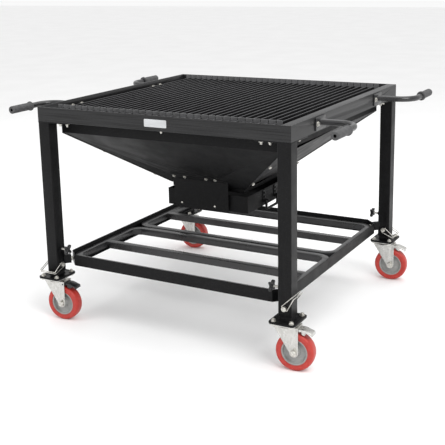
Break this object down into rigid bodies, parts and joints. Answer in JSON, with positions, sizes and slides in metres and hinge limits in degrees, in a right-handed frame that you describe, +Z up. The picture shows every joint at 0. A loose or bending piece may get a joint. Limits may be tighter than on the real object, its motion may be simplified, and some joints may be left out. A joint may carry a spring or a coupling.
{
  "type": "cutting table",
  "caption": "Height-adjustable slatted metal-cutting table with slag hopper and drawer, fold-out carrying handles, lower shelf and braked castors.",
  "frame": {"origin": "on the floor, under the middle of the table top", "axes": "+X along the front rail to the right, where the drawer opens, -Y to the front, +Z up"},
  "size_m": [1.244, 1.011, 0.774],
  "materials": {
    "black_powder_coat": "satin powder coat",
    "slat_steel": "dark bar steel",
    "zinc_steel": "zinc plated",
    "castor_zinc": "zinc plated pressing",
    "label_metal": "satin blank plate",
    "grip_rubber": "matt, finely textured",
    "red_polyurethane": "satin",
    "core_plastic": "satin",
    "knob_plastic": "satin"
  },
  "bodies": {
    "table": {"front_rail": "black_powder_coat", "back_rail": "black_powder_coat", "left_rail": "black_powder_coat", "right_rail": "black_powder_coat", "right_ledge": "black_powder_coat", "combs": "slat_steel", "label_plate": "label_metal", "hopper_front": "black_powder_coat", "hopper_back": "black_powder_coat", "hopper_left": "black_powder_coat", "hopper_right": "black_powder_coat", "drawer_hangers": "black_powder_coat", "drawer_runners": "black_powder_coat", "outer_legs": "black_powder_coat", "shelf_rails": "black_powder_coat", "shelf_loops": "black_powder_coat", "carry_handles": "black_powder_coat", "handle_grips": "grip_rubber", "lock_pins": "zinc_steel", "frame_bolts": "zinc_steel"},
    "slat_bed": {"slats": "slat_steel"},
    "drawer": {"drawer_box": "black_powder_coat", "pull_clips": "zinc_steel"},
    "pull": {"drawer_pull": "black_powder_coat"},
    "leg_fl": {"inner_leg_fl": "black_powder_coat", "castor_mount_fl": "zinc_steel"},
    "castor_fl": {"fork_fl": "castor_zinc", "axle_fl": "zinc_steel"},
    "wheel_fl": {"tyre_fl": "red_polyurethane", "wheel_core_fl": "core_plastic"},
    "brake_fl": {"brake_pedal_fl": "castor_zinc"},
    "bail_fl": {"pin_bail_fl": "zinc_steel"},
    "knob_fl": {"clamp_knob_fl": "knob_plastic"},
    "leg_fr": {"inner_leg_fr": "black_powder_coat", "castor_mount_fr": "zinc_steel"},
    "castor_fr": {"fork_fr": "castor_zinc", "axle_fr": "zinc_steel"},
    "wheel_fr": {"tyre_fr": "red_polyurethane", "wheel_core_fr": "core_plastic"},
    "brake_fr": {"brake_pedal_fr": "castor_zinc"},
    "bail_fr": {"pin_bail_fr": "zinc_steel"},
    "knob_fr": {"clamp_knob_fr": "knob_plastic"},
    "leg_bl": {"inner_leg_bl": "black_powder_coat", "castor_mount_bl": "zinc_steel"},
    "castor_bl": {"fork_bl": "castor_zinc", "axle_bl": "zinc_steel"},
    "wheel_bl": {"tyre_bl": "red_polyurethane", "wheel_core_bl": "core_plastic"},
    "brake_bl": {"brake_pedal_bl": "castor_zinc"},
    "bail_bl": {"pin_bail_bl": "zinc_steel"},
    "knob_bl": {"clamp_knob_bl": "knob_plastic"},
    "leg_br": {"inner_leg_br": "black_powder_coat", "castor_mount_br": "zinc_steel"},
    "castor_br": {"fork_br": "castor_zinc", "axle_br": "zinc_steel"},
    "wheel_br": {"tyre_br": "red_polyurethane", "wheel_core_br": "core_plastic"},
    "brake_br": {"brake_pedal_br": "castor_zinc"},
    "bail_br": {"pin_bail_br": "zinc_steel"},
    "knob_br": {"clamp_knob_br": "knob_plastic"}
  },
  "joints": [
    {"name": "slat_lift", "type": "slide", "parent": "table", "child": "slat_bed", "axis": [0, 0, 1], "range_m": [0, 0.06]},
    {"name": "drawer_slide", "type": "slide", "parent": "table", "child": "drawer", "axis": [1, 0, 0], "range_m": [0, 0.28]},
    {"name": "pull_swing", "type": "hinge", "parent": "drawer", "child": "pull", "pos_m": [0.18, 0, 0.407], "axis": [0, -1, 0], "range_deg": [0, 90]},
    {"name": "front_left_leg_extend", "type": "slide", "parent": "table", "child": "leg_fl", "axis": [0, 0, -1], "range_m": [0, 0.3]},
    {"name": "front_left_swivel", "type": "hinge", "parent": "leg_fl", "child": "castor_fl", "pos_m": [-0.4525, -0.4525, 0.141], "axis": [0, 0, 1], "continuous": true},
    {"name": "front_left_wheel_spin", "type": "hinge", "parent": "castor_fl", "child": "wheel_fl", "pos_m": [-0.42664, -0.44978, 0.0625], "axis": [-0.1045, 0.9945, 0], "continuous": true},
    {"name": "front_left_brake_pedal", "type": "hinge", "parent": "castor_fl", "child": "brake_fl", "pos_m": [-0.41869, -0.44895, 0.136], "axis": [-0.1045, 0.9945, 0], "range_deg": [0, 7]},
    {"name": "front_left_pin_bail", "type": "hinge", "parent": "table", "child": "bail_fl", "pos_m": [-0.4255, -0.4525, 0.204], "axis": [0, -0.4226, 0.9063], "range_deg": [0, 100]},
    {"name": "front_left_clamp_knob", "type": "hinge", "parent": "table", "child": "knob_fl", "pos_m": [-0.406, -0.4525, 0.262], "axis": [1, 0, 0], "range_deg": [0, 360]},
    {"name": "front_right_leg_extend", "type": "slide", "parent": "table", "child": "leg_fr", "axis": [0, 0, -1], "range_m": [0, 0.3]},
    {"name": "front_right_swivel", "type": "hinge", "parent": "leg_fr", "child": "castor_fr", "pos_m": [0.4525, -0.4525, 0.141], "axis": [0, 0, 1], "continuous": true},
    {"name": "front_right_wheel_spin", "type": "hinge", "parent": "castor_fr", "child": "wheel_fr", "pos_m": [0.47836, -0.44978, 0.0625], "axis": [-0.1045, 0.9945, 0], "continuous": true},
    {"name": "front_right_brake_pedal", "type": "hinge", "parent": "castor_fr", "child": "brake_fr", "pos_m": [0.48631, -0.44895, 0.136], "axis": [-0.1045, 0.9945, 0], "range_deg": [0, 7]},
    {"name": "front_right_pin_bail", "type": "hinge", "parent": "table", "child": "bail_fr", "pos_m": [0.4525, -0.4795, 0.204], "axis": [0.7986, 0, -0.6018], "range_deg": [0, 100]},
    {"name": "front_right_clamp_knob", "type": "hinge", "parent": "table", "child": "knob_fr", "pos_m": [0.406, -0.4525, 0.262], "axis": [-1, 0, 0], "range_deg": [0, 360]},
    {"name": "back_left_leg_extend", "type": "slide", "parent": "table", "child": "leg_bl", "axis": [0, 0, -1], "range_m": [0, 0.3]},
    {"name": "back_left_swivel", "type": "hinge", "parent": "leg_bl", "child": "castor_bl", "pos_m": [-0.4525, 0.4525, 0.141], "axis": [0, 0, 1], "continuous": true},
    {"name": "back_left_wheel_spin", "type": "hinge", "parent": "castor_bl", "child": "wheel_bl", "pos_m": [-0.42664, 0.45522, 0.0625], "axis": [-0.1045, 0.9945, 0], "continuous": true},
    {"name": "back_left_brake_pedal", "type": "hinge", "parent": "castor_bl", "child": "brake_bl", "pos_m": [-0.41869, 0.45605, 0.136], "axis": [-0.1045, 0.9945, 0], "range_deg": [0, 7]},
    {"name": "back_left_pin_bail", "type": "hinge", "parent": "table", "child": "bail_bl", "pos_m": [-0.4255, 0.4525, 0.204], "axis": [0, -0.4226, -0.9063], "range_deg": [0, 100]},
    {"name": "back_left_clamp_knob", "type": "hinge", "parent": "table", "child": "knob_bl", "pos_m": [-0.406, 0.4525, 0.262], "axis": [1, 0, 0], "range_deg": [0, 360]},
    {"name": "back_right_leg_extend", "type": "slide", "parent": "table", "child": "leg_br", "axis": [0, 0, -1], "range_m": [0, 0.3]},
    {"name": "back_right_swivel", "type": "hinge", "parent": "leg_br", "child": "castor_br", "pos_m": [0.4525, 0.4525, 0.141], "axis": [0, 0, 1], "continuous": true},
    {"name": "back_right_wheel_spin", "type": "hinge", "parent": "castor_br", "child": "wheel_br", "pos_m": [0.47836, 0.45522, 0.0625], "axis": [-0.1045, 0.9945, 0], "continuous": true},
    {"name": "back_right_brake_pedal", "type": "hinge", "parent": "castor_br", "child": "brake_br", "pos_m": [0.48631, 0.45605, 0.136], "axis": [-0.1045, 0.9945, 0], "range_deg": [0, 7]},
    {"name": "back_right_pin_bail", "type": "hinge", "parent": "table", "child": "bail_br", "pos_m": [0.4525, 0.4255, 0.204], "axis": [-0.5299, 0, -0.848], "range_deg": [0, 100]},
    {"name": "back_right_clamp_knob", "type": "hinge", "parent": "table", "child": "knob_br", "pos_m": [0.406, 0.4525, 0.262], "axis": [-1, 0, 0], "range_deg": [0, 360]}
  ]
}
